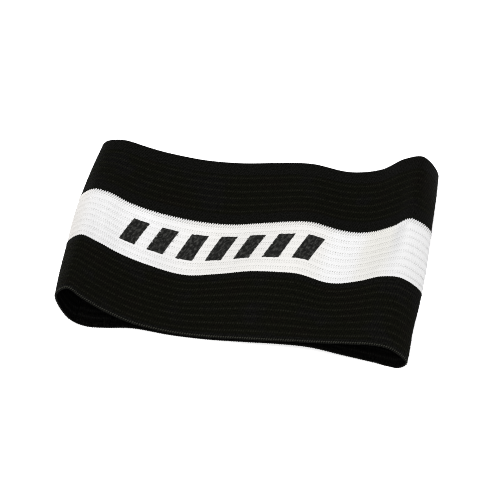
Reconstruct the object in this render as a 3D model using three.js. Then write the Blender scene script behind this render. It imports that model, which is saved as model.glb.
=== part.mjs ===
// An elastic captain's armband: one loop of wide woven elastic, lying flat-ways as it relaxes on a table.
// Its three colour bands, black, white and black, are woven side by side, and a lap joins the loop's ends.
// Millimetres, +Z up. X runs along the flattened loop and Y across the elastic, from its near selvedge
// to its far one. The origin is on the table under the middle of the loop.
import * as THREE from "three";

// Driving dimensions
const nearBlackWidth = 25.5;
const whiteWidth = 23.5;
const farBlackWidth = 27;
const flatLength = 134; // the loop pressed flat, which is half of its way round
const wall = 1; // thickness of the elastic
const layerGap = 0.3; // left between two layers that lie on each other
const foldHeight = 21; // how high the tallest fold stands off the table
const lapLength = 13; // the elastic's sewn end, doubled over its start
const lapPlace = 0.918; // the lap's middle, as a share of the way round from the left turn
const lapEdge = 0.4; // length over which the doubled end drops to a single wall

const bandWidth = nearBlackWidth + whiteWidth + farBlackWidth;
const nearEdge = -bandWidth / 2;
const nearJoin = nearEdge + nearBlackWidth;
const farJoin = nearJoin + whiteWidth;
const farEdge = bandWidth / 2;

// The loop's shape is given at these four sections across the elastic. Every list below has one value
// for each of them, from the near edge to the far edge.
const sectionPlaces = [nearEdge, nearJoin, farJoin, farEdge];

// How much longer or shorter than the flat size each section's way round is, as a share of it.
const stretch = [-0.011, 0.006, 0, -0.046];

// A row for each fold, left to right. along is its place, as a share of the flat length. under is how
// high the lower layer is off the table, and open the room between the layers, as shares of foldHeight.
const folds = [
  { name: "left shoulder", along: -0.415, under: [0.21, 0.09, 0.04, 0.02], open: [0.69, 0.64, 0.47, 0.16] },
  { name: "left crest", along: -0.375, under: [0.04, 0.01, 0, 0], open: [0.63, 0.6, 0.48, 0.23] },
  { name: "left slope", along: -0.32, under: [0.02, 0, 0, 0], open: [0.38, 0.37, 0.27, 0.15] },
  { name: "left foot", along: -0.25, under: [0.07, 0.01, 0, 0], open: [0.1, 0.15, 0.11, 0.06] },
  { name: "closed valley", along: -0.15, under: [0.04, 0, 0, 0], open: [0.01, 0, 0.01, 0.01] },
  { name: "valley's end", along: -0.06, under: [0.05, 0.03, 0.01, 0.01], open: [0.01, 0.12, 0.02, 0.02] },
  { name: "rise", along: 0.03, under: [0.12, 0.07, 0.06, 0.04], open: [0.01, 0.28, 0.13, 0.09] },
  { name: "middle crest", along: 0.125, under: [0.2, 0.08, 0.06, 0.04], open: [0.01, 0.33, 0.29, 0.2] },
  { name: "second valley", along: 0.22, under: [0.23, 0.06, 0.04, 0.02], open: [0.07, 0.26, 0.25, 0.15] },
  { name: "right slope", along: 0.3, under: [0.12, 0.03, 0.01, 0.01], open: [0.26, 0.43, 0.32, 0.33] },
  { name: "right crest", along: 0.36, under: [0.05, 0, 0, 0], open: [0.38, 0.66, 0.55, 0.69] },
  { name: "right shoulder", along: 0.41, under: [0.01, 0.03, 0.1, 0.06], open: [0.37, 0.65, 0.74, 0.76] },
];

// The two ends where the loop turns over, placed and raised as shares of the same sizes.
const leftTurn = { along: [-0.447, -0.453, -0.451, -0.426], height: [0.78, 0.52, 0.3, 0.14] };
const rightTurn = { along: [0.453, 0.463, 0.462, 0.451], height: [0.17, 0.42, 0.62, 0.48] };

// Mesh fineness
const rowsPerBand = 4; // spans across each colour band
const turnReach = 0.14; // share of the way round that each turn takes
const turnSpans = 26; // spans over each turn
const layerSpans = 26; // spans over each layer between the turns
const curvePoints = 900; // points that a section is measured with
const normalReach = 3; // points to each side that a section's direction is taken from

// A value at y, on a smooth curve through its values at the four sections.
function acrossBand(values, y) {
  const last = sectionPlaces.length - 1;
  const slope = (i) => {
    const before = Math.max(i - 1, 0);
    const after = Math.min(i + 1, last);
    return (values[after] - values[before]) / (sectionPlaces[after] - sectionPlaces[before]);
  };
  let i = 0;
  while (i < last - 1 && y > sectionPlaces[i + 1]) i++;
  const span = sectionPlaces[i + 1] - sectionPlaces[i];
  const t = (y - sectionPlaces[i]) / span;
  const fromStart = (1 + 2 * t) * (1 - t) ** 2;
  const leaving = t * (1 - t) ** 2 * span * slope(i);
  const arriving = t ** 2 * (t - 1) * span * slope(i + 1);
  return fromStart * values[i] + (1 - fromStart) * values[i + 1] + leaving + arriving;
}

// The outer face of the loop at y, as knots in the X-Z plane: the left turn, over the upper layer, the
// right turn, and back along the lower layer. spread widens the loop along X.
function loopKnots(y, spread) {
  const knot = (along, height) => new THREE.Vector3(along * flatLength * spread, 0, height);
  const under = (fold) => foldHeight * acrossBand(fold.under, y);
  const room = (fold) => foldHeight * Math.max(0, acrossBand(fold.open, y)) + layerGap;
  const turn = (end) => knot(acrossBand(end.along, y), foldHeight * acrossBand(end.height, y));
  return [
    turn(leftTurn),
    ...folds.map((fold) => knot(fold.along, under(fold) + room(fold) + 2 * wall)),
    turn(rightTurn),
    ...folds.toReversed().map((fold) => knot(fold.along, under(fold))),
  ];
}

// The smooth closed curve through the knots, as many short steps, flat where it lies on the table.
function loopCurve(y, spread) {
  const curve = new THREE.CatmullRomCurve3(loopKnots(y, spread), true, "centripetal");
  const points = curve.getPoints(curvePoints).slice(0, -1);
  return points.map((point) => new THREE.Vector2(point.x, Math.max(0, point.z)));
}

function stepLength(points, i) {
  return points[i].distanceTo(points[(i + 1) % points.length]);
}

function wayRound(points) {
  return points.reduce((sum, _, i) => sum + stepLength(points, i), 0);
}

// The loop at y, spread along X until its way round is the elastic's own length.
function relaxedLoop(y) {
  const length = 2 * flatLength * (1 + acrossBand(stretch, y));
  let tooNarrow = 0.5;
  let tooWide = 1.5;
  for (let i = 0; i < 30; i++) {
    const spread = (tooNarrow + tooWide) / 2;
    if (wayRound(loopCurve(y, spread)) < length) tooNarrow = spread;
    else tooWide = spread;
  }
  return loopCurve(y, (tooNarrow + tooWide) / 2);
}

// Where the mesh has its rows, as shares of the way round from the left turn: close together over the
// turns, and with a pair at each end of the lap.
const lapHalf = lapLength / 2 / (2 * flatLength);
const lapDrop = lapEdge / (2 * flatLength);
const lapRows = [-lapHalf - lapDrop, -lapHalf, lapHalf, lapHalf + lapDrop].map((offset) => lapPlace + offset);
function rowShares() {
  const spread = (from, to, spans) => Array.from({ length: spans }, (_, i) => from + ((to - from) * i) / spans);
  const half = turnReach / 2;
  const plain = [
    ...spread(0, half, turnSpans / 2),
    ...spread(half, 0.5 - half, layerSpans),
    ...spread(0.5 - half, 0.5 + half, turnSpans),
    ...spread(0.5 + half, 1 - half, layerSpans),
    ...spread(1 - half, 1, turnSpans / 2),
  ];
  const clearOfLap = plain.filter((share) => lapRows.every((row) => Math.abs(share - row) > lapDrop));
  return [...clearOfLap, ...lapRows].sort((a, b) => a - b);
}

// How thick the elastic is at a share of the way round: twice the wall along the lap.
function thickness(share) {
  return share > lapRows[0] && share < lapRows[3] ? 2 * wall : wall;
}

// The points of the outer and the inner face at y, one for each share.
function ringsAt(y, shares) {
  const points = relaxedLoop(y);
  const count = points.length;
  const total = wayRound(points);
  const rings = { outer: [], inner: [] };
  let step = 0;
  let passed = 0;
  for (const share of shares) {
    while (step < count - 1 && passed + stepLength(points, step) < share * total) {
      passed += stepLength(points, step);
      step++;
    }
    const part = (share * total - passed) / stepLength(points, step);
    const outer = points[step].clone().lerp(points[(step + 1) % count], part);
    const before = points[(step - normalReach + count) % count];
    const after = points[(step + 1 + normalReach) % count];
    const along = after.clone().sub(before).normalize();
    const inward = new THREE.Vector2(along.y, -along.x).multiplyScalar(thickness(share));
    rings.outer.push(new THREE.Vector3(outer.x, y, outer.y));
    rings.inner.push(new THREE.Vector3(outer.x + inward.x, y, outer.y + inward.y));
  }
  return rings;
}

// One colour band as a closed body: its outer and inner faces, and a flat face at each of its edges.
function bandGeometry(fromY, toY, shares) {
  const sections = Array.from({ length: rowsPerBand + 1 }, (_, i) => {
    return ringsAt(fromY + ((toY - fromY) * i) / rowsPerBand, shares);
  });
  const count = shares.length;
  const positions = sections.flatMap(({ outer, inner }) => [...outer, ...inner]);
  const outerAt = (section, i) => section * 2 * count + (i % count);
  const innerAt = (section, i) => outerAt(section, i) + count;
  const triangles = [];
  const quad = (a, b, c, d) => triangles.push(a, b, c, a, c, d);
  for (let i = 0; i < count; i++) {
    for (let s = 0; s < rowsPerBand; s++) {
      quad(outerAt(s, i), outerAt(s, i + 1), outerAt(s + 1, i + 1), outerAt(s + 1, i));
      quad(innerAt(s, i), innerAt(s + 1, i), innerAt(s + 1, i + 1), innerAt(s, i + 1));
    }
    quad(outerAt(0, i), innerAt(0, i), innerAt(0, i + 1), outerAt(0, i + 1));
    quad(outerAt(rowsPerBand, i), outerAt(rowsPerBand, i + 1), innerAt(rowsPerBand, i + 1), innerAt(rowsPerBand, i));
  }
  const geometry = new THREE.BufferGeometry().setFromPoints(positions);
  geometry.setIndex(triangles);
  geometry.computeVertexNormals();
  return geometry;
}

function elastic(color) {
  return new THREE.MeshStandardMaterial({ color, roughness: 0.9, metalness: 0 });
}

const shares = rowShares();
const armband = new THREE.Group();
const bands = [
  { name: "near_black_stripe", from: nearEdge, to: nearJoin, material: elastic(0x1b1c17) },
  { name: "white_stripe", from: nearJoin, to: farJoin, material: elastic(0xf0efee) },
  { name: "far_black_stripe", from: farJoin, to: farEdge, material: elastic(0x1b1c17) },
];
for (const { name, from, to, material } of bands) {
  const band = new THREE.Mesh(bandGeometry(from, to, shares), material);
  band.name = name;
  armband.add(band);
}
const middle = new THREE.Box3().setFromObject(armband).getCenter(new THREE.Vector3());
armband.position.x = -middle.x; // puts the origin under the middle of the loop

export default armband;
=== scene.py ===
import functools
import math

import bpy
import numpy as np
from mathutils import Matrix, Vector


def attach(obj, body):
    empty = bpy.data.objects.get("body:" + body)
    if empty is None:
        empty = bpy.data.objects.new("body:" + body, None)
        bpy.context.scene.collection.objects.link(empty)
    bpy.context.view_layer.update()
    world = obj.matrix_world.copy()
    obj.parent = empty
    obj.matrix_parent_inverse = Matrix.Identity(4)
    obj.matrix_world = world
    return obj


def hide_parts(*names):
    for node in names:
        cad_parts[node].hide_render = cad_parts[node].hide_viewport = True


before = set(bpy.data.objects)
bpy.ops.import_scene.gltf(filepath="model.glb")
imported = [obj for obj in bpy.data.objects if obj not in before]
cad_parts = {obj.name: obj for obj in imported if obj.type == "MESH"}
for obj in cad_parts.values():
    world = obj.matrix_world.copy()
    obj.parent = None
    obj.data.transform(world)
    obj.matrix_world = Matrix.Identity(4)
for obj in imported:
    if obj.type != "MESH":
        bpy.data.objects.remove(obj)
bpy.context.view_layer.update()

# An elastic armband on a white table: black, white and black bands knitted side by side, with rows of
# chain stitches along the loop. Sizes in the dictionaries are millimetres, and the scene is in metres.
# Along is the way round the loop from its left turn, over the top first. Across is from the near edge.

mm = 0.001

elastic = {
    "bandWidths": (25.5, 23.5, 27.0),  # near black, white, far black
    "flatLength": 134.0,  # the loop pressed flat, half of its way round
    "wall": 1.0,
    "layerGap": 0.3,
    "foldHeight": 21.0,
    "stretch": (-0.011, 0.006, 0.0, -0.046),  # how much each section's way round differs, as a share
    "lapLength": 13.0,
    "lapPlace": 0.918,  # share of the way round
}

# Every list has a value for each of the four sections: near edge, the two colour changes, far edge.
# under is the lower layer's height, open the room above it, both as shares of foldHeight.
folds = {
    "left shoulder": {"along": -0.415, "under": (0.21, 0.09, 0.04, 0.02), "open": (0.69, 0.64, 0.47, 0.16)},
    "left crest": {"along": -0.375, "under": (0.04, 0.01, 0, 0), "open": (0.63, 0.6, 0.48, 0.23)},
    "left slope": {"along": -0.32, "under": (0.02, 0, 0, 0), "open": (0.38, 0.37, 0.27, 0.15)},
    "left foot": {"along": -0.25, "under": (0.07, 0.01, 0, 0), "open": (0.1, 0.15, 0.11, 0.06)},
    "closed valley": {"along": -0.15, "under": (0.04, 0, 0, 0), "open": (0.01, 0, 0.01, 0.01)},
    "valley's end": {"along": -0.06, "under": (0.05, 0.03, 0.01, 0.01), "open": (0.01, 0.12, 0.02, 0.02)},
    "rise": {"along": 0.03, "under": (0.12, 0.07, 0.06, 0.04), "open": (0.01, 0.28, 0.13, 0.09)},
    "middle crest": {"along": 0.125, "under": (0.2, 0.08, 0.06, 0.04), "open": (0.01, 0.33, 0.29, 0.2)},
    "second valley": {"along": 0.22, "under": (0.23, 0.06, 0.04, 0.02), "open": (0.07, 0.26, 0.25, 0.15)},
    "right slope": {"along": 0.3, "under": (0.12, 0.03, 0.01, 0.01), "open": (0.26, 0.43, 0.32, 0.33)},
    "right crest": {"along": 0.36, "under": (0.05, 0, 0, 0), "open": (0.38, 0.66, 0.55, 0.69)},
    "right shoulder": {"along": 0.41, "under": (0.01, 0.03, 0.1, 0.06), "open": (0.37, 0.65, 0.74, 0.76)},
}
turns = {
    "left": {"along": (-0.447, -0.453, -0.451, -0.426), "height": (0.78, 0.52, 0.3, 0.14)},
    "right": {"along": (0.453, 0.463, 0.462, 0.451), "height": (0.17, 0.42, 0.62, 0.48)},
}
measure = {"curvePoints": 900, "normalReach": 3, "halvings": 30, "placesRound": 2400, "placesAcross": 13}

# Where the real cloth gives a little more than the smooth loop: place, reach and move, in millimetres.
gives = {
    "left crest, far edge": {"along": 2, "across": 76, "reach": (5, 14), "move": (0, -0.4, 0)},
    "left slope, far edge": {"along": 13, "across": 76, "reach": (7, 12), "move": (0, 0.5, 0)},
    "valley, far edge": {"along": 40, "across": 76, "reach": (9, 12), "move": (0, -0.3, 0)},
    "middle, far edge": {"along": 70, "across": 76, "reach": (14, 12), "move": (0, 0.6, 0)},
    "middle crest": {"along": 89, "across": 37, "reach": (6, 20), "move": (0, 0.8, 0)},
    "second valley": {"along": 102, "across": 37, "reach": (7, 20), "move": (0, -0.8, 0)},
    "right crest, far edge": {"along": 118, "across": 76, "reach": (8, 12), "move": (0.2, 0, 0.5)},
    "left foot, near edge": {"along": 254, "across": 0, "reach": (12, 9), "move": (0, -0.8, 0)},
    "valley, near edge": {"along": 232, "across": 0, "reach": (10, 9), "move": (0, 0.55, 0)},
    "middle, near edge": {"along": 207, "across": 0, "reach": (16, 9), "move": (0, 0.28, 0)},
    "right foot, near edge": {"along": 164, "across": 0, "reach": (7, 9), "move": (0, -0.35, 0)},
    "right corner, near edge": {"along": 138, "across": 0, "reach": (4, 7), "move": (0.3, -0.6, -0.7)},
    "right side": {"along": 134, "across": 12, "reach": (9, 7), "move": (-0.5, 0, 0)},
}

wayRound = 2 * elastic["flatLength"]
bandPlaces = np.concatenate([[0], np.cumsum(elastic["bandWidths"])])  # the four sections, from the near edge
bandWidth = bandPlaces[-1]


# The loop's section

def acrossBand(values, across):
    slopes = []
    for i in range(4):
        before, after = max(i - 1, 0), min(i + 1, 3)
        slopes.append((values[after] - values[before]) / (bandPlaces[after] - bandPlaces[before]))
    i = int(np.searchsorted(bandPlaces[1:3], across))
    span = bandPlaces[i + 1] - bandPlaces[i]
    t = (across - bandPlaces[i]) / span
    fromStart = (1 + 2 * t) * (1 - t) ** 2
    leaving = t * (1 - t) ** 2 * span * slopes[i]
    arriving = t ** 2 * (t - 1) * span * slopes[i + 1]
    return fromStart * values[i] + (1 - fromStart) * values[i + 1] + leaving + arriving


def loopKnots(across, spread):
    height, reach = elastic["foldHeight"], elastic["flatLength"] * spread
    lower, upper = [], []
    for fold in folds.values():
        under = height * acrossBand(fold["under"], across)
        room = height * max(0, acrossBand(fold["open"], across)) + elastic["layerGap"]
        lower.append((fold["along"] * reach, under))
        upper.append((fold["along"] * reach, under + room + 2 * elastic["wall"]))
    left, right = [
        (acrossBand(turn["along"], across) * reach, height * acrossBand(turn["height"], across))
        for turn in turns.values()
    ]
    return np.array([left, *upper, right, *lower[::-1]])


# A smooth closed curve through the knots, centripetal, kept above the table.
def loopCurve(across, spread):
    knots = loopKnots(across, spread)
    a, b, c, d = (np.roll(knots, shift, axis=0) for shift in (1, 0, -1, -2))
    ab, bc, cd = (np.sqrt(np.linalg.norm(q - p, axis=1))[:, None] for p, q in ((a, b), (b, c), (c, d)))
    leave = bc * ((b - a) / ab - (c - a) / (ab + bc) + (c - b) / bc)
    arrive = bc * ((c - b) / bc - (d - b) / (bc + cd) + (d - c) / cd)
    place = np.arange(measure["curvePoints"]) * len(knots) / measure["curvePoints"]
    i = place.astype(int)
    t = (place - i)[:, None]
    points = b[i] + leave[i] * t + (3 * (c - b) - 2 * leave - arrive)[i] * t ** 2
    points += (2 * (b - c) + leave + arrive)[i] * t ** 3
    points[:, 1] = np.maximum(points[:, 1], 0)
    return points


def stepLengths(points):
    return np.linalg.norm(np.roll(points, -1, axis=0) - points, axis=1)


@functools.lru_cache(maxsize=None)
def relaxedLoop(across):
    length = wayRound * (1 + acrossBand(elastic["stretch"], across))
    low, high = 0.5, 1.5
    for _ in range(measure["halvings"]):
        middle = (low + high) / 2
        if stepLengths(loopCurve(across, middle)).sum() < length:
            low = middle
        else:
            high = middle
    points = loopCurve(across, (low + high) / 2)
    reach = measure["normalReach"]
    direction = np.roll(points, -reach, axis=0) - np.roll(points, reach, axis=0)
    direction /= np.linalg.norm(direction, axis=1)[:, None]
    passed = np.concatenate([[0], np.cumsum(stepLengths(points))])
    closed = [np.append(column, column[0]) for column in (*points.T, *direction.T)]
    return passed / passed[-1], closed


# Points of the outer face at one place across, with the loop's direction and the way out of the cloth.
def onLoop(along, across, depth=0.0):
    shares, columns = relaxedLoop(round(float(across), 4))
    place = np.asarray(along) / wayRound % 1
    x, z, dx, dz = (np.interp(place, shares, column) for column in columns)
    size = np.hypot(dx, dz)
    zero = np.zeros_like(x)
    tangent = np.stack([dx / size, zero, dz / size], axis=1)
    outward = np.stack([-dz / size, zero, dx / size], axis=1)
    points = np.stack([x - middleX, zero + across - bandWidth / 2, z], axis=1)
    for give in gives.values():
        away = (np.asarray(along) - give["along"] + wayRound / 2) % wayRound - wayRound / 2
        share = np.exp(-(away / give["reach"][0]) ** 2 - ((across - give["across"]) / give["reach"][1]) ** 2)
        points += share.reshape(-1, 1) * np.array(give["move"])
    points[:, 2] = np.maximum(points[:, 2], 0)
    return points - outward * np.asarray(depth).reshape(-1, 1), tangent, outward


middleX = 0.0
everyPlace = np.linspace(0, wayRound, measure["placesRound"])
reaches = [onLoop(everyPlace, y)[0][:, 0] for y in np.linspace(0, bandWidth, measure["placesAcross"])]
middleX = (np.max(reaches) + np.min(reaches)) / 2  # puts the origin under the middle of the loop


# The knitted weave

weave = {
    "courses": 320,  # stitches round the loop
    "slant": 0.3,  # how far a weft leans along for each millimetre across
    "nearWales": [3.0 + 2.7 * k for k in range(8)],  # rows of chain stitches, from the near edge
    "whiteWales": [27.3 + 2.8 * k for k in range(8)],
    "farWales": [54.6 + 2.9 * k for k in range(6)],
    "ribRows": (0.12, 0.3, 0.5, 0.7, 0.88),  # the mesh rows between two wales, as shares of the way
    "perCourse": 3,  # mesh columns for each course
}
coursePitch = wayRound / weave["courses"]
joins = [float(place) for place in bandPlaces[1:3]]
grooves = [0.0, *weave["nearWales"], joins[0], *weave["whiteWales"], joins[1], *weave["farWales"],
           float(bandWidth)]


def fromWale(across):
    return min(abs(across - place) for place in grooves)


def bandRows(start, end):
    rows = []
    for a, b in zip(grooves, grooves[1:]):
        if a >= start - 1e-6 and b <= end + 1e-6:
            rows += [a, *(a + (b - a) * share for share in weave["ribRows"])]
    return rows + [end]


# Node trees

def feed(tree, socket, value):
    if isinstance(value, bpy.types.NodeSocket):
        tree.links.new(value, socket)
    else:
        socket.default_value = value


def addNode(tree, kind, values=None, **settings):
    node = tree.nodes.new(kind)
    for name, value in settings.items():
        setattr(node, name, value)
    for name, value in (values or {}).items():
        feed(tree, node.inputs[name], value)
    return node


def calc(tree, operation, *values, clamp=False):
    node = addNode(tree, "ShaderNodeMath", operation=operation, use_clamp=clamp)
    for socket, value in zip(node.inputs, values):
        feed(tree, socket, value)
    return node.outputs[0]


# 1 where value is within near of place, and 0 past far.
def closeTo(tree, value, place, near, far):
    away = calc(tree, "ABSOLUTE", calc(tree, "SUBTRACT", value, place))
    node = addNode(tree, "ShaderNodeMapRange", {"Value": away, "From Min": near, "From Max": far,
                   "To Min": 1.0, "To Max": 0.0}, interpolation_type="SMOOTHSTEP")
    return node.outputs[0]


def noiseOf(tree, vector, scale, detail, roughness=0.5):
    node = addNode(tree, "ShaderNodeTexNoise", {
        "Vector": vector, "Scale": scale, "Detail": detail, "Roughness": roughness})
    return node.outputs[0]


# From low, where value is start, to high, where it is end.
def ramp(tree, value, start, end, low=0.0, high=1.0):
    node = addNode(tree, "ShaderNodeMapRange", {
        "Value": value, "From Min": start, "From Max": end, "To Min": low, "To Max": high})
    return node.outputs[0]


def mixColour(tree, share, first, second):
    node = addNode(tree, "ShaderNodeMix", data_type="RGBA")
    feed(tree, node.inputs[0], share)
    feed(tree, node.inputs[6], first)
    feed(tree, node.inputs[7], second)
    return node.outputs[2]


# Geometry Nodes: named inputs on a new tree, with the modifier's values set by identifier.
def newGeometryTree(name, sizes):
    tree = bpy.data.node_groups.new(name, "GeometryNodeTree")
    tree.interface.new_socket("Geometry", in_out="INPUT", socket_type="NodeSocketGeometry")
    for size, value in sizes.items():
        kind = {int: "NodeSocketInt", float: "NodeSocketFloat"}[type(value)]
        tree.interface.new_socket(size, in_out="INPUT", socket_type=kind).default_value = value
    for finish in ("Material", "Inside Material"):
        tree.interface.new_socket(finish, in_out="INPUT", socket_type="NodeSocketMaterial")
    tree.interface.new_socket("Geometry", in_out="OUTPUT", socket_type="NodeSocketGeometry")
    given = addNode(tree, "NodeGroupInput").outputs
    return tree, given


def endGeometryTree(tree, given, geometry, inside=None):
    realized = addNode(tree, "GeometryNodeRealizeInstances", {"Geometry": geometry})
    painted = addNode(tree, "GeometryNodeSetMaterial", {"Geometry": realized.outputs[0],
                      "Material": given["Material"]})
    if inside is not None:
        painted = addNode(tree, "GeometryNodeSetMaterial", {"Geometry": painted.outputs[0],
                          "Selection": inside, "Material": given["Inside Material"]})
    addNode(tree, "NodeGroupOutput", {"Geometry": painted.outputs[0]})


def namedValue(tree, name, kind):
    node = addNode(tree, "GeometryNodeInputNamedAttribute", {"Name": name}, data_type=kind)
    return node.outputs["Attribute"]


# Runs a tree on an object and keeps the result as a plain mesh.
def runTree(obj, tree, material, insideMaterial=None, **sizes):
    values = {"Material": material, **sizes}
    if insideMaterial:
        values["InsideMaterial"] = insideMaterial
    modifier = obj.modifiers.new(tree.name, "NODES")
    modifier.node_group = tree
    for item in tree.interface.items_tree:
        name = item.name.replace(" ", "")
        if item.in_out == "INPUT" and name in values:
            modifier[item.identifier] = values[name]
    bpy.context.view_layer.update()
    made = bpy.data.meshes.new_from_object(obj.evaluated_get(bpy.context.evaluated_depsgraph_get()))
    obj.modifiers.remove(modifier)
    old = obj.data
    obj.data = made
    made.name = obj.name
    bpy.data.meshes.remove(old)
    if not made.materials:
        made.materials.append(material)
    return obj


grooveCurve = 1.5  # how quickly a groove narrows towards its bottom


# Presses ribs into the cloth: grooves at the wales, a ridge for each weft, and a little unevenness.
def ribbedClothTree():
    tree, given = newGeometryTree("ribbed cloth", {
        "Groove Depth": 0.0, "Groove Reach": 0.001, "Weft Height": 0.0, "Unevenness": 0.0, "Seed": 0})
    awayFromWale = namedValue(tree, "fromWale", "FLOAT")
    course = namedValue(tree, "course", "FLOAT")
    outward = namedValue(tree, "outward", "FLOAT_VECTOR")
    near = calc(tree, "SUBTRACT", 1.0, calc(tree, "DIVIDE", awayFromWale, given["Groove Reach"]), clamp=True)
    groove = calc(tree, "MULTIPLY", calc(tree, "POWER", near, grooveCurve), given["Groove Depth"])
    wave = calc(tree, "COSINE", calc(tree, "MULTIPLY", course, 2 * math.pi))
    low = calc(tree, "MULTIPLY", calc(tree, "SUBTRACT", 1.0, wave), 0.5)
    weft = calc(tree, "MULTIPLY", low, given["Weft Height"])
    noise = addNode(tree, "ShaderNodeTexNoise", {"W": given["Seed"], "Scale": 420.0, "Detail": 1.0},
                    noise_dimensions="4D")
    uneven = calc(tree, "MULTIPLY", noise.outputs[0], given["Unevenness"])
    sink = calc(tree, "ADD", calc(tree, "ADD", groove, weft), uneven)
    offset = addNode(tree, "ShaderNodeVectorMath", {0: outward, "Scale": calc(tree, "MULTIPLY", sink, -1.0)},
                     operation="SCALE")
    moved = addNode(tree, "GeometryNodeSetPosition", {
        "Geometry": given["Geometry"], "Offset": offset.outputs[0]})
    inside = calc(tree, "GREATER_THAN", namedValue(tree, "inside", "FLOAT"), 0.5)
    endGeometryTree(tree, given, moved.outputs[0], inside)
    return tree


# Sets one piece of yarn on every point, turned along the point's tangent and lying on its outward side.
def endYarnTree(tree, given, yarn):
    turned = addNode(tree, "FunctionNodeAxesToRotation", {
        "Primary Axis": namedValue(tree, "tangent", "FLOAT_VECTOR"),
        "Secondary Axis": namedValue(tree, "outward", "FLOAT_VECTOR")}, primary_axis="X", secondary_axis="Z")
    size = addNode(tree, "FunctionNodeRandomValue", {"Seed": given["Seed"]}, data_type="FLOAT")
    feed(tree, size.inputs[2], calc(tree, "SUBTRACT", 1.0, given["Size Spread"]))  # the smallest
    feed(tree, size.inputs[3], calc(tree, "ADD", 1.0, given["Size Spread"]))  # and the largest
    placed = addNode(tree, "GeometryNodeInstanceOnPoints", {
        "Points": given["Geometry"], "Instance": yarn,
        "Rotation": turned.outputs[0], "Scale": size.outputs[1]})
    realized = addNode(tree, "GeometryNodeRealizeInstances", {"Geometry": placed.outputs[0]})
    place = addNode(tree, "ShaderNodeCombineXYZ", {"X": namedValue(tree, "along", "FLOAT"),
                    "Y": namedValue(tree, "across", "FLOAT")})
    mapped = addNode(tree, "GeometryNodeStoreNamedAttribute", {
        "Geometry": realized.outputs[0], "Name": "weave"}, data_type="FLOAT2", domain="CORNER")
    feed(tree, mapped.inputs["Value"], place.outputs[0])
    smooth = addNode(tree, "GeometryNodeSetShadeSmooth", {"Geometry": mapped.outputs[0]})
    endGeometryTree(tree, given, smooth.outputs[0])
    return tree


loopArc = 280.0  # degrees of a chain stitch's loop, which is open at its foot


# A chain stitch: an open loop of yarn whose head points along the row.
def chainStitchTree():
    tree, given = newGeometryTree("chain stitches", {
        "Loop Length": 0.001, "Loop Width": 0.001, "Yarn": 0.0003, "Loop Points": 5, "Yarn Sides": 3,
        "Size Spread": 0.0, "Seed": 0})
    arc = addNode(tree, "GeometryNodeCurveArc", {
        "Resolution": given["Loop Points"], "Radius": 1.0, "Start Angle": math.radians(-loopArc / 2),
        "Sweep Angle": math.radians(loopArc)}, mode="RADIUS")
    stretched = addNode(tree, "ShaderNodeCombineXYZ", {
        "X": calc(tree, "MULTIPLY", given["Loop Length"], 0.5),
        "Y": calc(tree, "MULTIPLY", given["Loop Width"], 0.5), "Z": 1.0})
    loop = addNode(tree, "GeometryNodeTransform", {"Geometry": arc.outputs[0], "Scale": stretched.outputs[0]})
    ring = addNode(tree, "GeometryNodeCurvePrimitiveCircle", {
        "Resolution": given["Yarn Sides"], "Radius": calc(tree, "MULTIPLY", given["Yarn"], 0.5)})
    yarn = addNode(tree, "GeometryNodeCurveToMesh", {
        "Curve": loop.outputs[0], "Profile Curve": ring.outputs[0], "Fill Caps": True})
    return endYarnTree(tree, given, yarn.outputs[0])


# A stroke of yarn: its middle stands up by Rise, and its ends go down into the cloth.
def yarnStrokeTree():
    tree, given = newGeometryTree("yarn strokes", {
        "Stroke Length": 0.001, "Rise": 0.0002, "Yarn": 0.0003, "Stroke Points": 5, "Yarn Sides": 5,
        "Size Spread": 0.0, "Seed": 0})
    half = calc(tree, "MULTIPLY", given["Stroke Length"], 0.5)
    ends = []
    for side in (-1.0, 1.0):
        place = addNode(tree, "ShaderNodeCombineXYZ", {"X": calc(tree, "MULTIPLY", half, side),
                        "Z": calc(tree, "MULTIPLY", given["Rise"], -1.0)})
        ends.append(place.outputs[0])
    top = addNode(tree, "ShaderNodeCombineXYZ", {"Z": given["Rise"]})
    bow = addNode(tree, "GeometryNodeCurveQuadraticBezier", {
        "Resolution": given["Stroke Points"], "Start": ends[0], "Middle": top.outputs[0], "End": ends[1]})
    ring = addNode(tree, "GeometryNodeCurvePrimitiveCircle", {
        "Resolution": given["Yarn Sides"], "Radius": calc(tree, "MULTIPLY", given["Yarn"], 0.5)})
    yarn = addNode(tree, "GeometryNodeCurveToMesh", {
        "Curve": bow.outputs[0], "Profile Curve": ring.outputs[0], "Fill Caps": True})
    return endYarnTree(tree, given, yarn.outputs[0])


# Finishes

def newMaterial(name, roughness, specular):
    material = bpy.data.materials.new(name)
    material.use_nodes = True
    tree = material.node_tree
    shader = tree.nodes["Principled BSDF"]
    shader.inputs["Roughness"].default_value = roughness
    shader.inputs["Specular IOR Level"].default_value = specular
    return material, tree, shader


# The UV map, the places along and across that it holds, and the count of courses, which follows the wefts.
def weavePlace(tree):
    uv = addNode(tree, "ShaderNodeUVMap", uv_map="weave")
    parts = addNode(tree, "ShaderNodeSeparateXYZ", {"Vector": uv.outputs[0]})
    along, across = parts.outputs[0], parts.outputs[1]
    straight = calc(tree, "SUBTRACT", along, calc(tree, "MULTIPLY", across, weave["slant"]))
    return uv.outputs[0], along, across, calc(tree, "DIVIDE", straight, coursePitch)


# How far across a place is from the nearest wale, and 1 only among the wales given.
def fromNearestWale(tree, across, wales):
    first, pitch = wales[0], wales[1] - wales[0]
    shares = calc(tree, "DIVIDE", calc(tree, "SUBTRACT", across, first), pitch)
    away = calc(tree, "SUBTRACT", calc(tree, "FRACT", calc(tree, "ADD", shares, 0.5)), 0.5)
    half = (wales[-1] - first) / 2
    among = closeTo(tree, across, first + half, half + pitch * 0.45, half + pitch * 0.5)
    return calc(tree, "MULTIPLY", away, pitch), among


dashFade = {"full": 0.25, "gone": 0.75}  # shares of a dash's size, from its middle


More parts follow.
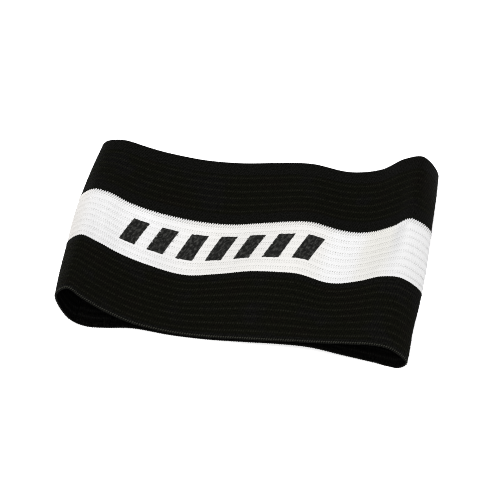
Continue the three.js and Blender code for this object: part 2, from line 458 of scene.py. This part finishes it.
# A row of short dashes at one distance from every wale, one for each course.
def dashRow(tree, away, course, row):
    tall, wide = row["tall"], row["wide"]
    beside = closeTo(tree, away, row["away"], tall * dashFade["full"], tall * dashFade["gone"])
    part = calc(tree, "FRACT", calc(tree, "ADD", course, row["shift"]))
    dash = closeTo(tree, part, 0.5, wide * dashFade["full"], wide * dashFade["gone"])
    return calc(tree, "MULTIPLY", calc(tree, "MULTIPLY", beside, dash), row["strength"])


relief = {"fibreScale": 5.0, "fibre": 0.5, "weft": 0.35, "distance": 0.00012}


def weftWave(tree, course):
    return calc(tree, "COSINE", calc(tree, "MULTIPLY", course, 2 * math.pi))


# Fine fibre and the round of each weft, as bump.
def yarnBump(tree, shader, uv, course, strength):
    fibre = calc(tree, "MULTIPLY", noiseOf(tree, uv, relief["fibreScale"], 3.0), relief["fibre"])
    height = calc(tree, "ADD", calc(tree, "MULTIPLY", weftWave(tree, course), relief["weft"]), fibre)
    bump = addNode(tree, "ShaderNodeBump", {
        "Strength": strength, "Distance": relief["distance"], "Height": height})
    feed(tree, shader.inputs["Normal"], bump.outputs[0])


# The chain stitches' colour is lighter than the ground, a painted highlight on their loops; plain is that of
# the strips without them, and dark and light those of the ground, with grey and brown patches. weft and row
# are painted light and shade of the relief: how much lighter the ground is at each weft and wale row.
blacks = {"dark": (0.0006, 0.0007, 0.0003, 1), "light": (0.0041, 0.00425, 0.0021, 1),
          "grey": (0.0050, 0.0047, 0.0045, 1), "brown": (0.0046, 0.0036, 0.0024, 1),
          "plain": (0.0068, 0.0066, 0.0059, 1), "bright": (0.0118, 0.0120, 0.0084, 1),
          "weft": 0.07, "row": 0.09, "specular": 0.03}
# The loop's inside, painted darker than the outside as shade: a shaded copy of the black.
shadedInsideBlacks = {"dark": (0.0002, 0.0002, 0.0002, 1), "light": (0.0042, 0.0042, 0.0038, 1),
                "grey": (0.0040, 0.0038, 0.0039, 1), "brown": (0.0042, 0.0038, 0.0034, 1),
                "plain": (0.0042, 0.0040, 0.0038, 1), "bright": (0.009, 0.009, 0.0085, 1),
                "weft": 0.0, "row": 0.1, "specular": 0.0}
blackPattern = {
    "mottleScale": 1.6, "mottleFrom": 0.32, "mottleTo": 0.68,
    "rowFull": 0.2, "rowGone": 1.0,  # how far from a wale its row is painted lighter
    "rowMean": 0.35,  # how much of a row's painted lightness the whole cloth has, which is taken off again
    "patchScale": 0.07, "greyFrom": 0.55, "greyTo": 0.63,
    "brownFrom": 0.46, "brownTo": 0.38, "brownMost": 0.8,
    "speckScale": 1.1, "speckFrom": 0.35, "speckTo": 0.65, "speckLeast": 0.25,
    # the dashes of the chain stitches' painted highlight
    "stitch": {"away": 0.0, "tall": 0.6, "wide": 0.36, "shift": 0.5, "strength": 1.0},
}


def blackGround(tree, uv, course, away, among, tones):
    look = blackPattern
    # Painted light and shade of the relief: the ground is lighter on each weft ridge and along each wale row.
    wefts = calc(tree, "MULTIPLY", weftWave(tree, course), tones["weft"])
    onRow = calc(tree, "MULTIPLY", closeTo(tree, away, 0.0, look["rowFull"], look["rowGone"]), among)
    rows = calc(tree, "MULTIPLY", onRow, tones["row"])
    mottle = noiseOf(tree, uv, look["mottleScale"], 2.0, 0.7)
    mottleAndShading = calc(tree, "ADD", calc(tree, "ADD", mottle, wefts), rows)
    mottleAndShading = calc(tree, "SUBTRACT", mottleAndShading, tones["row"] * look["rowMean"])
    patch = noiseOf(tree, uv, look["patchScale"], 2.0)
    browner = ramp(tree, patch, look["brownFrom"], look["brownTo"], high=look["brownMost"])
    hue = mixColour(tree, browner, tones["light"], tones["brown"])
    hue = mixColour(tree, ramp(tree, patch, look["greyFrom"], look["greyTo"]), hue, tones["grey"])
    hue = mixColour(tree, among, tones["plain"], hue)
    return mixColour(tree, ramp(tree, mottleAndShading, look["mottleFrom"], look["mottleTo"]), tones["dark"], hue)


def blackElastic(name, wales, tones):
    look = blackPattern
    material, tree, shader = newMaterial(name, 0.8, tones["specular"])
    uv, _, across, course = weavePlace(tree)
    away, among = fromNearestWale(tree, across, wales)
    ground = blackGround(tree, uv, course, away, among, tones)
    # A painted highlight on each chain stitch, stronger or weaker in specks.
    speck = noiseOf(tree, uv, look["speckScale"], 1.0)
    strong = ramp(tree, speck, look["speckFrom"], look["speckTo"], low=look["speckLeast"])
    stitch = calc(tree, "MULTIPLY", dashRow(tree, away, course, look["stitch"]), among)
    share = calc(tree, "MULTIPLY", stitch, strong)
    feed(tree, shader.inputs["Base Color"], mixColour(tree, share, ground, tones["bright"]))
    yarnBump(tree, shader, uv, course, 0.5)
    return material


# Painted light and shade on the white, by place round the loop: darker at the two turns and on the right
# slope, lighter on the left slope and the middle crest. The middle has a warm, yellowed tone of its own. For
# each: where along it is, how far it is full, and where it ends.
whiteShadeAndTones = {
    "left turn": {"along": 0.0, "near": 4.0, "far": 12.0, "colour": (0.654, 0.634, 0.612, 1)},
    "left slope": {"along": 24.0, "near": 5.0, "far": 15.0, "colour": (0.758, 0.755, 0.759, 1)},
    "middle": {"along": 72.0, "near": 15.0, "far": 42.0, "colour": (0.70, 0.688, 0.667, 1)},
    "middle crest": {"along": 101.0, "near": 3.0, "far": 8.0, "colour": (0.712, 0.711, 0.716, 1)},
    "right turn": {"along": 130.0, "near": 13.0, "far": 26.0, "colour": (0.64, 0.638, 0.641, 1)},
    "right slope": {"along": 113.0, "near": 3.0, "far": 8.5, "colour": (0.678, 0.667, 0.634, 1)},
}
whiteLook = {
    "plain": (0.70, 0.697, 0.702, 1),
    "gap": (0.36, 0.36, 0.345, 1),  # what shows between the yarns, with its shade painted in
    "atNearEdge": 0.98,  # how light the band is at its two colour changes
    "atFarEdge": 1.03,
    "cloudScale": 0.06, "cloudLeast": 0.4,  # unevenness of the painted shade and tones
    "grainScale": 1.7, "grainFrom": 0.3, "grainTo": 0.7, "grainMost": 0.14,
    "underTurn": 40.0,  # along counts back below zero this far under the left turn
}


def whiteGround(tree, uv, across, onTop):
    look = whiteLook
    cloudy = calc(tree, "ADD", noiseOf(tree, uv, look["cloudScale"], 2.0), look["cloudLeast"])
    ground = look["plain"]
    # Painted light and shade by place round the loop, and the warm middle tone.
    for tone in whiteShadeAndTones.values():
        here = closeTo(tree, onTop, tone["along"], tone["near"], tone["far"])
        ground = mixColour(tree, calc(tree, "MULTIPLY", here, cloudy), ground, tone["colour"])
    shade = ramp(tree, across, joins[0], joins[1], look["atNearEdge"], look["atFarEdge"])
    shaded = addNode(tree, "ShaderNodeHueSaturation", {"Color": ground, "Value": shade})
    grain = noiseOf(tree, uv, look["grainScale"], 2.0, 0.7)
    rough = ramp(tree, grain, look["grainFrom"], look["grainTo"], high=look["grainMost"])
    return mixColour(tree, rough, shaded.outputs[0], look["gap"])


# Painted shade in the gaps: the white cloth shows a dark gap above each chain stitch and a paler one below,
# half a course on, with their shade painted into the colour. They are fainter on the left, and where the loop
# turns down on the right.
whiteGapShade = {
    "upper": {"away": 0.45, "tall": 0.55, "wide": 0.42, "shift": 0.0, "strength": 1.0},
    "lower": {"away": -0.6, "tall": 0.5, "wide": 0.42, "shift": 0.5, "strength": 0.55},
}
gapShadeFading = {
    "speckScale": 0.9, "speckFrom": 0.3, "speckTo": 0.65, "speckLeast": 0.25,
    "leftFrom": 8.0, "leftTo": 45.0, "leftLeast": 0.55,
    "right": 134.0, "rightNear": 6.0, "rightFar": 16.0, "rightFade": 0.6,
}


def gapShadeShare(tree, uv, course, away, among, onTop):
    fading = gapShadeFading
    upper, lower = [dashRow(tree, away, course, row) for row in whiteGapShade.values()]
    share = calc(tree, "MULTIPLY", calc(tree, "ADD", upper, lower, clamp=True), among)
    speck = noiseOf(tree, uv, fading["speckScale"], 2.0)
    strong = ramp(tree, speck, fading["speckFrom"], fading["speckTo"], low=fading["speckLeast"])
    left = ramp(tree, onTop, fading["leftFrom"], fading["leftTo"], low=fading["leftLeast"])
    share = calc(tree, "MULTIPLY", calc(tree, "MULTIPLY", share, strong), left)
    turned = closeTo(tree, onTop, fading["right"], fading["rightNear"], fading["rightFar"])
    right = calc(tree, "SUBTRACT", 1.0, calc(tree, "MULTIPLY", turned, fading["rightFade"]))
    return calc(tree, "MULTIPLY", share, right)


# The far colour change: painted shade in the slits between the long strokes of white yarn, and black between
# their tips.
toothSlitShade = {"away": 0.0, "tall": 1.1, "wide": 0.34, "shift": 0.0, "strength": 0.65}
teeth = {"slitMiddle": 47.5, "middle": 47.7, "slant": 0.5, "root": 48.1, "height": 0.8, "softness": 0.08}


def withTeeth(tree, across, course, cloth):
    past = calc(tree, "SUBTRACT", across, teeth["middle"])
    bent = calc(tree, "MULTIPLY", past, (teeth["slant"] - weave["slant"]) / coursePitch)
    tooth = calc(tree, "SUBTRACT", course, bent)
    slits = dashRow(tree, calc(tree, "SUBTRACT", across, teeth["slitMiddle"]), tooth, toothSlitShade)
    cloth = mixColour(tree, slits, cloth, whiteLook["gap"])
    onStroke = calc(tree, "PINGPONG", calc(tree, "ADD", tooth, 0.5), 0.5)  # 0.5 on a stroke, 0 between two
    edge = calc(tree, "ADD", calc(tree, "MULTIPLY", onStroke, 2 * teeth["height"]), teeth["root"])
    beyond = ramp(tree, calc(tree, "SUBTRACT", across, edge), -teeth["softness"], teeth["softness"])
    return mixColour(tree, beyond, cloth, blacks["light"])


ink = {
    "bars": 7,
    "start": 24.4,  # along, where the first bar begins at its middle height
    "pitch": 10.3,
    "barWidth": 5.9,
    "height": 11.3,
    "middle": 37.4,  # across
    "lean": 0.3,  # the bars lean as italics do
    "raggedness": 0.35,
    "sideShare": 0.4,  # how much of the raggedness their sides have
    "softTop": 0.08,
    "softSide": 0.1,
    "endMargin": 0.5,  # past the first and the last bar
    "dark": (0.0015, 0.0015, 0.001, 1),
    "worn": (0.036, 0.036, 0.033, 1),
    "wornScale": 1.2, "wornFrom": 0.46, "wornTo": 0.68,
    "wornPlace": (0.9, 0.55),  # the wear's size along the courses and across
}


# 1 on the printed bars. Their edges follow the yarn, so each course ends a little differently.
def inkMask(tree, along, across, course):
    jitter = addNode(tree, "ShaderNodeTexNoise", {"W": calc(tree, "FLOOR", course), "Scale": 1.7,
                     "Detail": 0.0}, noise_dimensions="1D")
    ragged = calc(tree, "MULTIPLY", calc(tree, "SUBTRACT", jitter.outputs[0], 0.5), ink["raggedness"])
    up = calc(tree, "ADD", calc(tree, "SUBTRACT", across, ink["middle"]), ragged)
    tall, soft = ink["height"] / 2, ink["softTop"]
    inHeight = closeTo(tree, up, 0.0, tall - soft, tall + soft)
    lean = calc(tree, "MULTIPLY", up, ink["lean"])
    passed = calc(tree, "SUBTRACT", calc(tree, "SUBTRACT", along, lean), ink["start"])
    passed = calc(tree, "ADD", passed, calc(tree, "MULTIPLY", ragged, ink["sideShare"]))
    wide, soft = ink["barWidth"] / 2, ink["softSide"]
    inRow = calc(tree, "PINGPONG", calc(tree, "SUBTRACT", passed, wide), ink["pitch"] / 2)
    onBar = closeTo(tree, inRow, 0.0, wide - soft, wide + soft)
    half = (ink["bars"] - 1) * ink["pitch"] / 2 + wide
    inLength = closeTo(tree, passed, half, half + ink["endMargin"], half + ink["endMargin"] + soft)
    return calc(tree, "MULTIPLY", calc(tree, "MULTIPLY", inHeight, onBar), inLength)


def inkColour(tree, across, course):
    strands = addNode(tree, "ShaderNodeCombineXYZ", {
        "X": calc(tree, "MULTIPLY", course, ink["wornPlace"][0]),
        "Y": calc(tree, "MULTIPLY", across, ink["wornPlace"][1])})
    rubbed = noiseOf(tree, strands.outputs[0], ink["wornScale"], 2.0)
    return mixColour(tree, ramp(tree, rubbed, ink["wornFrom"], ink["wornTo"]), ink["dark"], ink["worn"])


def whiteElastic(name, wales, printed):
    material, tree, shader = newMaterial(name, 0.75, 0.2)
    uv, along, across, course = weavePlace(tree)
    away, among = fromNearestWale(tree, across, wales)
    under = whiteLook["underTurn"]
    onTop = calc(tree, "WRAP", along, wayRound - under, -under)  # along, with no jump at the left turn
    ground = whiteGround(tree, uv, across, onTop)
    # Painted shade in the gaps beside each chain stitch.
    share = gapShadeShare(tree, uv, course, away, among, onTop)
    cloth = withTeeth(tree, across, course, mixColour(tree, share, ground, whiteLook["gap"]))
    if printed:
        mask = inkMask(tree, along, across, course)
        cloth = mixColour(tree, mask, cloth, inkColour(tree, across, course))
    feed(tree, shader.inputs["Base Color"], cloth)
    yarnBump(tree, shader, uv, course, 0.4)
    return material


def plainYarn(name, dark, light):
    material, tree, shader = newMaterial(name, 0.8, 0.04)
    place = addNode(tree, "ShaderNodeTexCoord").outputs["Object"]
    fibre = noiseOf(tree, place, 1500.0, 2.0)
    feed(tree, shader.inputs["Base Color"], mixColour(tree, fibre, dark, light))
    bump = addNode(tree, "ShaderNodeBump", {"Strength": 0.4, "Distance": 0.00005, "Height": fibre})
    feed(tree, shader.inputs["Normal"], bump.outputs[0])
    return material


# Meshes

def newPiece(name, points, faces):
    mesh = bpy.data.meshes.new(name)
    mesh.from_pydata((np.asarray(points) * mm).tolist(), [], faces)
    obj = bpy.data.objects.new(name, mesh)
    bpy.context.collection.objects.link(obj)
    return obj


def addAttribute(obj, name, kind, values):
    attribute = obj.data.attributes.new(name, kind, "POINT")
    attribute.data.foreach_set("vector" if kind == "FLOAT_VECTOR" else "value", np.ravel(values))


clothShape = {
    "innerRowStep": 1.5,  # about how far apart the inner face's rows are
    # a rounded edge: how far in, in millimetres, and how far down, as a share of the wall
    "rim": ((0.45, 0.0), (0.13, 0.14), (0.0, 0.5), (0.13, 0.86), (0.45, 1.0)),
    "rimClear": 0.1,  # rows closer to the rounded edge than this are left out
    "innerClear": 0.4,  # and so much more on the inner face
    "insideFrom": 0.6,  # share of the wall from which the cloth has its inside finish
    "grooveReach": 0.7,
    "weftHeight": 0.07,
    "unevenness": 0.08,
    "flapClearance": 0.04,
    "flapInset": 0.3,  # from the selvedges
    "flapRowClear": 0.5,
    "flapColumns": 26,
}


# The closed line round a band's section, as places across and depths below the outer face.
def bandProfile(start, end):
    wall = elastic["wall"]
    rows = bandRows(start, end)
    nearRim = [(start + inset, depth * wall) for inset, depth in clothShape["rim"]] if start == 0 else []
    farRim = [(end - inset, depth * wall) for inset, depth in clothShape["rim"]] if end == bandWidth else []
    inset = clothShape["rim"][0][0] + clothShape["rimClear"]
    outer = [(row, 0.0) for row in rows
             if (not nearRim or row > start + inset) and (not farRim or row < end - inset)]
    innerInset = inset + clothShape["innerClear"]
    innerStart = start + (innerInset if nearRim else 0)
    innerEnd = end - (innerInset if farRim else 0)
    count = round((innerEnd - innerStart) / clothShape["innerRowStep"])
    inner = [(row, wall) for row in np.linspace(innerEnd, innerStart, count + 1)]
    return nearRim[:1] + outer + farRim + inner + nearRim[:0:-1]


def bandCloth(name, start, end):
    profile = bandProfile(start, end)
    columns = weave["courses"] * weave["perCourse"]
    straight = np.arange(columns) * wayRound / columns
    points, outwards, wale, course, inside = [], [], [], [], []
    for across, depth in profile:
        onRow, _, outward = onLoop(straight + weave["slant"] * across, across, depth)
        inside += [float(depth > clothShape["insideFrom"] * elastic["wall"])] * columns
        side = 1 - 2 * depth / elastic["wall"]  # 1 on the outer face, -1 on the inner one
        points.append(onRow)
        outwards.append(outward * side)
        wale += [fromWale(across)] * columns
        course.append(straight / coursePitch)
    faces, places = [], []
    count = len(profile)
    for s in range(count):
        after = (s + 1) % count
        rise, nextRise = profile[s][0], profile[after][0]
        for i in range(columns):
            j = (i + 1) % columns
            faces.append((s * columns + i, s * columns + j, after * columns + j, after * columns + i))
        left = straight
        right = straight + wayRound / columns
        corners = [(left, rise), (right, rise), (right, nextRise), (left, nextRise)]
        places.append(np.stack([
            np.stack([at + weave["slant"] * across, np.full(columns, across)], axis=1)
            for at, across in corners], axis=1).reshape(-1, 2))
    flap = lapFlap(start, end, len(faces), count * columns)
    obj = newPiece(name, np.concatenate(points + [flap["points"]]), faces + flap["faces"])
    layer = obj.data.uv_layers.new(name="weave")
    layer.data.foreach_set("uv", np.concatenate(places + [flap["places"]]).ravel())
    addAttribute(obj, "outward", "FLOAT_VECTOR", np.concatenate(outwards + [flap["outwards"]]))
    addAttribute(obj, "fromWale", "FLOAT", np.concatenate([wale, flap["wale"]]))
    addAttribute(obj, "course", "FLOAT", np.concatenate(course + [flap["course"]]))
    addAttribute(obj, "inside", "FLOAT", inside + [1.0] * len(flap["points"]))
    return obj


# The band's sewn end, doubled over its start inside the loop, as a slab of the same cloth.
def lapFlap(start, end, firstFace, firstPoint):
    middle = elastic["lapPlace"] * wayRound
    alongs = np.linspace(-0.5, 0.5, clothShape["flapColumns"]) * elastic["lapLength"] + middle
    inset, clear = clothShape["flapInset"], clothShape["flapRowClear"]
    between = [row for row in bandRows(start, end) if start + clear < row < end - clear]
    rows = [max(start, inset), *between, min(end, bandWidth - inset)]
    top = elastic["wall"] + clothShape["flapClearance"]
    bottom = 2 * elastic["wall"]
    profile = [(row, top) for row in rows] + [(row, bottom) for row in rows[::-1]]
    points, outwards, wale, course, places = [], [], [], [], []
    columns = len(alongs)
    for across, depth in profile:
        onRow, _, outward = onLoop(alongs, across, depth)
        points.append(onRow)
        outwards.append(outward * (1 if depth == top else -1))
        wale += [fromWale(across)] * columns
        course.append((alongs - weave["slant"] * across) / coursePitch)

    def at(s, i):
        return firstPoint + (s % len(profile)) * columns + i

    faces = []
    for s in range(len(profile)):
        for i in range(columns - 1):
            faces.append((at(s, i), at(s, i + 1), at(s + 1, i + 1), at(s + 1, i)))
    last = len(profile) - 1
    for s in range(len(rows) - 1):
        faces.append((at(s, 0), at(s + 1, 0), at(last - s - 1, 0), at(last - s, 0)))
        faces.append((at(s + 1, columns - 1), at(s, columns - 1), at(last - s, columns - 1),
                      at(last - s - 1, columns - 1)))
    for face in faces:
        for corner in face:
            row, column = divmod(corner - firstPoint, columns)
            places.append((alongs[column], profile[row][0]))
    return {"points": np.concatenate(points), "faces": faces, "places": np.array(places),
            "outwards": np.concatenate(outwards), "wale": wale, "course": np.concatenate(course)}


# A point for each stitch, with what the trees need to turn and colour it.
def stitchPoints(name, groups):
    points, tangents, outwards, alongs, acrosses = [], [], [], [], []
    for along, across, depth, turn in groups:
        onRow, tangent, outward = onLoop(along, across, depth)
        turned = math.cos(turn) * tangent + math.sin(turn) * np.array([0, 1, 0])
        points.append(onRow)
        tangents.append(turned)
        outwards.append(outward if depth < elastic["wall"] else -outward)
        alongs.append(along % wayRound)
        acrosses.append(np.full(len(along), across))
    obj = newPiece(name, np.concatenate(points), [])
    addAttribute(obj, "tangent", "FLOAT_VECTOR", np.concatenate(tangents))
    addAttribute(obj, "outward", "FLOAT_VECTOR", np.concatenate(outwards))
    addAttribute(obj, "along", "FLOAT", np.concatenate(alongs))
    addAttribute(obj, "across", "FLOAT", np.concatenate(acrosses))
    return obj


def everyCourse(across, shift=0.0):
    return (np.arange(weave["courses"]) + shift) * coursePitch + weave["slant"] * across


ribbedCloth = ribbedClothTree()
chainStitches = chainStitchTree()
yarnStrokes = yarnStrokeTree()
nearBlack = blackElastic("near black elastic", weave["nearWales"], blacks)
farBlack = blackElastic("far black elastic", weave["farWales"], blacks)
# the inside's black, painted darker as shade
shadedInsideBlack = blackElastic("black elastic inside, painted darker", weave["nearWales"], shadedInsideBlacks)
white = whiteElastic("white elastic", weave["whiteWales"], printed=True)
insideWhite = whiteElastic("white elastic inside", weave["whiteWales"], printed=False)
# The near edge's yarn: a lighter grey with a painted sheen, where the edge catches the light.
edgeYarnWithSheen = plainYarn("edge yarn with painted sheen", (0.016, 0.016, 0.012, 1), (0.036, 0.036, 0.03, 1))
blackThread = plainYarn("black thread", (0.0015, 0.0016, 0.001, 1), (0.0045, 0.0046, 0.003, 1))

# Cloth
print("knitting the cloth")
bands = {
    "near_black_cloth": {"node": "near_black_stripe", "from": 0, "to": 1, "slot": "black_elastic",
                         "material": nearBlack, "inside": shadedInsideBlack, "grooveDepth": 0.1},
    "white_cloth": {"node": "white_stripe", "from": 1, "to": 2, "slot": "white_elastic",
                    "material": white, "inside": insideWhite, "grooveDepth": 0.02},
    "far_black_cloth": {"node": "far_black_stripe", "from": 2, "to": 3, "slot": "black_elastic",
                        "material": farBlack, "inside": shadedInsideBlack, "grooveDepth": 0.1},
}
seeds = {"cloth": 3, "strokes": 10, "lap": 30}
cloths = {}
for name, part in bands.items():
    cloth = bandCloth(name, float(bandPlaces[part["from"]]), float(bandPlaces[part["to"]]))
    cloths[name] = runTree(
        cloth, ribbedCloth, part["material"], part["inside"], GrooveDepth=part["grooveDepth"] * mm,
        GrooveReach=clothShape["grooveReach"], WeftHeight=clothShape["weftHeight"] * mm,
        Unevenness=clothShape["unevenness"] * mm, Seed=seeds["cloth"])
    cloths[name].data.shade_smooth()

# Chain stitches
print("laying the chain stitches")
chain = {
    "black": {"length": 0.62, "width": 0.46, "yarn": 0.22, "depth": 0.1},
    "white": {"length": 1.0, "width": 0.6, "yarn": 0.26, "depth": 0.14},
    "sizeSpread": 0.1,
}
chainRows = {
    "near_chain_stitches": ("near_black_cloth", weave["nearWales"], nearBlack),
    "white_chain_stitches": ("white_cloth", weave["whiteWales"][:-1], white),
    "far_chain_stitches": ("far_black_cloth", weave["farWales"], farBlack),
}
trims = {name: [] for name in cloths}
for seed, (name, (clothName, wales, material)) in enumerate(chainRows.items()):
    size = chain["white" if material is white else "black"]
    points = stitchPoints(name, [(everyCourse(wale), wale, size["depth"], 0.0) for wale in wales])
    stitches = runTree(
        points, chainStitches, material, LoopLength=size["length"] * mm, LoopWidth=size["width"] * mm,
        Yarn=size["yarn"] * mm, SizeSpread=chain["sizeSpread"], Seed=seed)
    trims[clothName].append(stitches)

# The two colour changes, where yarns of one band reach over the other
print("laying the teeth and edges")
lean = math.atan2(1, weave["slant"])
toothLean = math.atan2(1, teeth["slant"])
strokeSpread = 0.07
strokes = {
    "white_upper_teeth": {"on": "white_cloth", "across": teeth["middle"], "shift": 0.0, "length": 2.3,
                          "yarn": 0.5, "rise": 0.14, "depth": 0.08, "turn": toothLean, "material": white},
    "black_upper_teeth": {"on": "far_black_cloth", "across": 49.15, "shift": 0.5, "length": 1.4, "yarn": 0.4,
                          "rise": 0.12, "depth": 0.1, "turn": toothLean, "material": blackThread},
    "black_lower_teeth": {"on": "near_black_cloth", "across": 25.2, "shift": 0.5, "length": 0.6, "yarn": 0.5,
                          "rise": 0.1, "depth": 0.14, "turn": lean, "material": blackThread},
    "near_edge_yarn": {"on": "near_black_cloth", "across": 0.45, "shift": 0.0, "length": 0.6, "yarn": 0.4,
                       "rise": 0.1, "depth": 0.12, "turn": lean - 0.45, "material": edgeYarnWithSheen},
    "far_edge_yarn": {"on": "far_black_cloth", "across": 75.4, "shift": 0.0, "length": 0.5, "yarn": 0.32,
                      "rise": 0.08, "depth": 0.14, "turn": lean - 0.5, "material": blackThread},
}
for seed, (name, part) in enumerate(strokes.items()):
    along = everyCourse(part["across"], part["shift"])
    points = stitchPoints(name, [(along, part["across"], part["depth"], part["turn"])])
    yarn = runTree(
        points, yarnStrokes, part["material"], StrokeLength=part["length"] * mm, Rise=part["rise"] * mm,
        Yarn=part["yarn"] * mm, SizeSpread=strokeSpread, Seed=seeds["strokes"] + seed)
    trims[part["on"]].append(yarn)

# The seam that joins the loop
print("sewing the lap")
seam = {"rows": (-4.6, 4.6), "pitch": 2.6, "length": 2.1, "yarn": 0.32, "rise": 0.16, "margin": 1.5,
        "sink": 0.02, "spread": 0.03}
seamRows = []
for row in seam["rows"]:
    place = elastic["lapPlace"] * wayRound + row
    for depth in (seam["sink"], 2 * elastic["wall"] - seam["sink"]):
        for across in np.arange(seam["margin"], bandWidth - seam["margin"], seam["pitch"]):
            seamRows.append((np.array([place]), across, depth, math.pi / 2))
lapStitches = runTree(
    stitchPoints("lap_stitches", seamRows), yarnStrokes, blackThread, StrokeLength=seam["length"] * mm,
    Rise=seam["rise"] * mm, Yarn=seam["yarn"] * mm, SizeSpread=seam["spread"], Seed=seeds["lap"])

# Yarn under the loop is pressed flat, just off the table.
pressedTo = 0.02
for trim in [*sum(trims.values(), []), lapStitches]:
    places = np.empty(len(trim.data.vertices) * 3)
    trim.data.vertices.foreach_get("co", places)
    places[2::3] = np.maximum(places[2::3], pressedTo * mm)
    trim.data.vertices.foreach_set("co", places)
    trim.data.update()

# What each piece is to the frame
for name, part in bands.items():
    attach(cloths[name], "root")
    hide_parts(part["node"])
    for trim in trims[name]:
        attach(trim, "root")
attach(lapStitches, "root")

# Table, light and camera
print("setting the table")
table = {
    "size": 6.0,  # metres
    "finish": {"Base Color": (0.84, 0.84, 0.84, 1), "Roughness": 0.9, "Specular IOR Level": 0.1,
               "Emission Color": (1, 1, 1, 1), "Emission Strength": 0.56},  # it glows, as a light table does
}
half = table["size"] / 2
corners = [(-half, -half, 0), (half, -half, 0), (half, half, 0), (-half, half, 0)]
floor = newPiece("table_top", np.array(corners) / mm, [(0, 1, 2, 3)])
paper = bpy.data.materials.new("white table")
paper.use_nodes = True
for socket, value in table["finish"].items():
    paper.node_tree.nodes["Principled BSDF"].inputs[socket].default_value = value
floor.data.materials.append(paper)

lighting = {"room": 0.69, "place": (-0.1, -0.93, 1.8), "size": 1.3, "power": 35.5}  # metres and watts
room = bpy.data.worlds.new("white room")
bpy.context.scene.world = room
room.use_nodes = True
room.node_tree.nodes["Background"].inputs["Color"].default_value = (1, 1, 1, 1)
room.node_tree.nodes["Background"].inputs["Strength"].default_value = lighting["room"]

lamp = bpy.data.objects.new("front", bpy.data.lights.new("front", "AREA"))
lamp.data.shape = "DISK"
lamp.data.size = lighting["size"]
lamp.data.energy = lighting["power"]
lamp.location = lighting["place"]
lamp.rotation_euler = (-Vector(lighting["place"])).to_track_quat("-Z", "Y").to_euler()
bpy.context.collection.objects.link(lamp)

view = {"lookAt": (-0.43, 3.24, 0.0), "distance": 2059.4, "elevation": 53.0, "turn": -9.247, "lens": 432.0,
        "sensor": 36, "farthest": 20}  # farthest is in metres
elevation, turn = math.radians(view["elevation"]), math.radians(view["turn"])
level = math.cos(elevation)
ahead = Vector((math.sin(turn) * level, math.cos(turn) * level, -math.sin(elevation)))
right = Vector((math.cos(turn), -math.sin(turn), 0))
up = right.cross(ahead)
camera = bpy.data.objects.new("camera", bpy.data.cameras.new("camera"))
camera.data.lens = view["lens"]
camera.data.sensor_width = view["sensor"]
camera.data.sensor_fit = "HORIZONTAL"
camera.data.clip_end = view["farthest"]
camera.matrix_world = Matrix.Translation((Vector(view["lookAt"]) - ahead * view["distance"]) * mm) @ Matrix(
    (right, up, -ahead)).transposed().to_4x4()
bpy.context.collection.objects.link(camera)
bpy.context.scene.camera = camera
bpy.context.scene.view_settings.view_transform = "Standard"
bpy.context.scene.view_settings.look = "None"
bpy.context.scene.cycles.filter_width = 1.0  # the weave is hardly wider than a pixel,
bpy.context.scene.cycles.denoising_prefilter = "NONE"  # and a prefilter wipes it out

triangles = {}
for obj in [*cloths.values(), *sum(trims.values(), []), lapStitches]:
    obj.data.calc_loop_triangles()
    triangles[obj.name] = len(obj.data.loop_triangles)
print("triangles:", triangles, "in all:", sum(triangles.values()))
